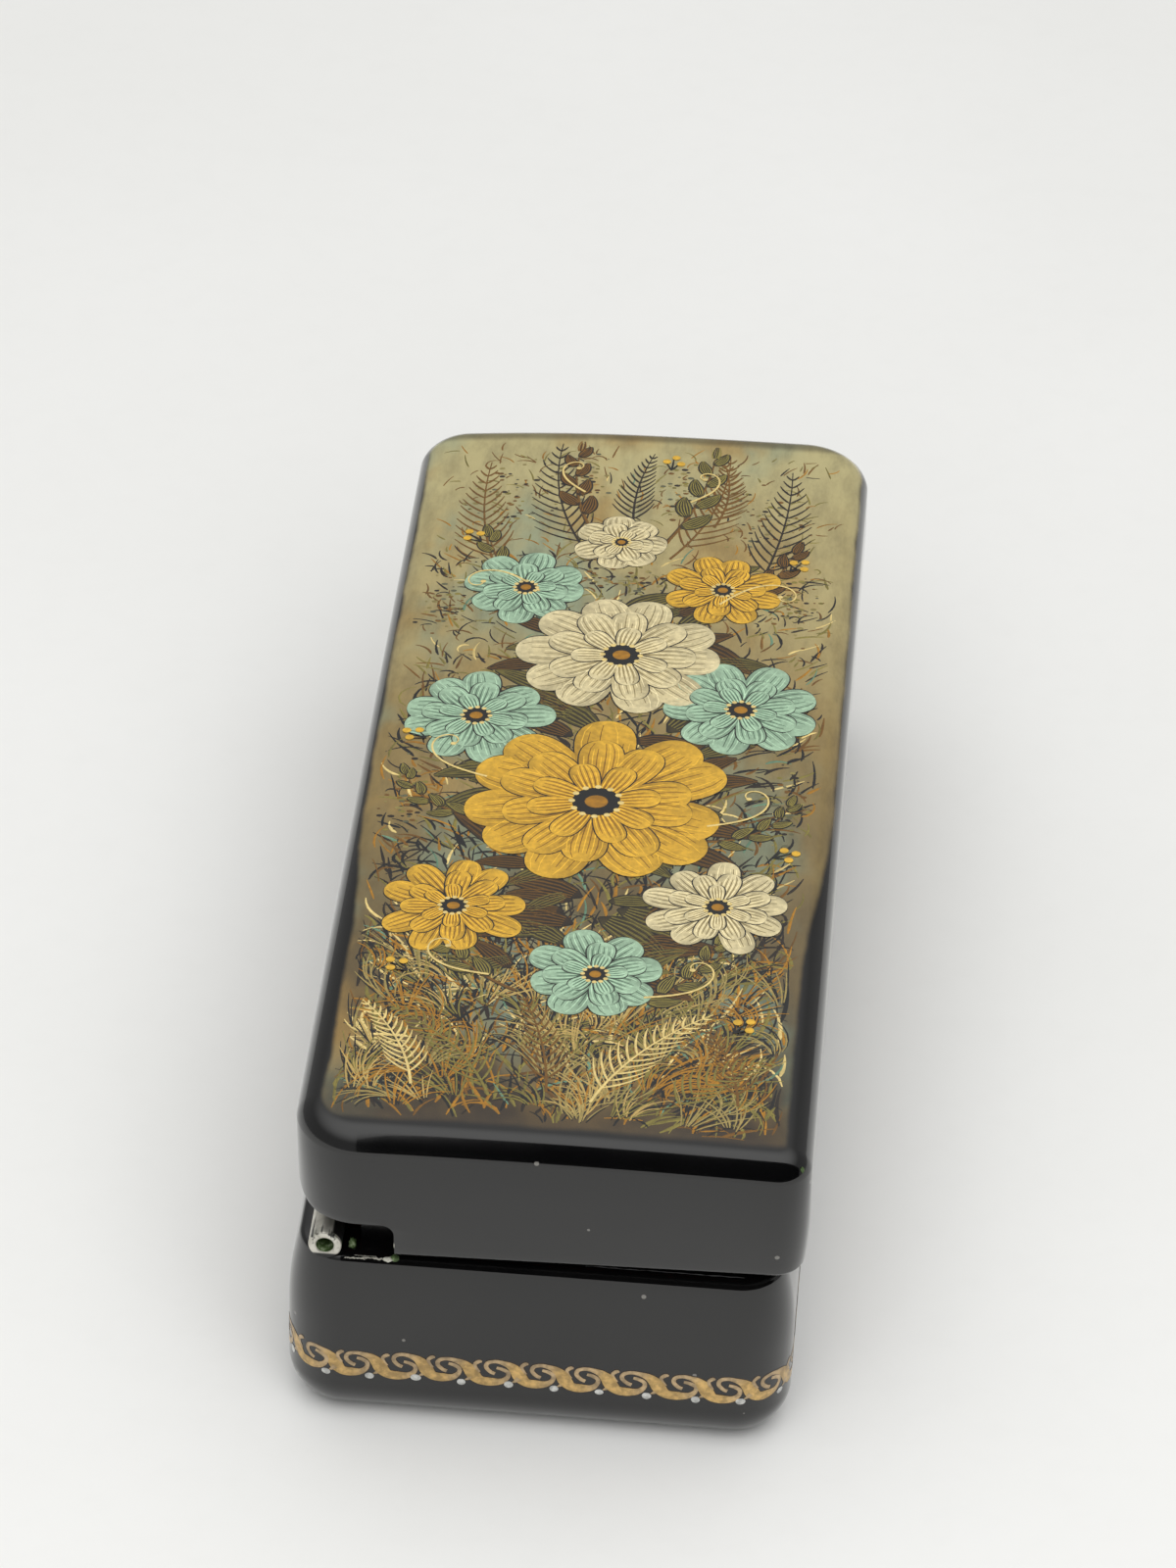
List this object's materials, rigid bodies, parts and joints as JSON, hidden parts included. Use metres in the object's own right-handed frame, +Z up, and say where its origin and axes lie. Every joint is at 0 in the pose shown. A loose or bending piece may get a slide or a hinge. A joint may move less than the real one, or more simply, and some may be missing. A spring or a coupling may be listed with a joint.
{
  "type": "lacquer box",
  "caption": "Long hinged papier-mache box in black lacquer, with a crowned painted lid, a gold scroll border round the foot and a barrel hinge along one long side.",
  "frame": {"origin": "middle of the flat face that the box stands on", "axes": "+Z up, +Y along the length of the box, +X from the hinge side to the opening side"},
  "size_m": [0.0466, 0.116, 0.0341],
  "materials": {
    "base_lacquer": "polished",
    "lid_lacquer": "polished",
    "lid_painting": "gloss",
    "inner_lacquer": "gloss",
    "hinge_metal": "satin",
    "pin_wire": "matte"
  },
  "bodies": {
    "base": {"base_floor": "base_lacquer", "base_wall": "base_lacquer", "base_lip": "inner_lacquer", "base_knuckle_front": "hinge_metal", "base_knuckle_middle": "hinge_metal", "base_knuckle_rear": "hinge_metal", "hinge_pin": "pin_wire"},
    "lid": {"lid_wall": "lid_lacquer", "lid_top": "lid_painting", "lid_knuckle_front": "hinge_metal", "lid_knuckle_rear": "hinge_metal"}
  },
  "joints": [
    {"name": "lid_hinge", "type": "hinge", "parent": "base", "child": "lid", "pos_m": [-0.0192, 0, 0.0199], "axis": [0, -1, 0], "range_deg": [-2.4, 95]}
  ]
}
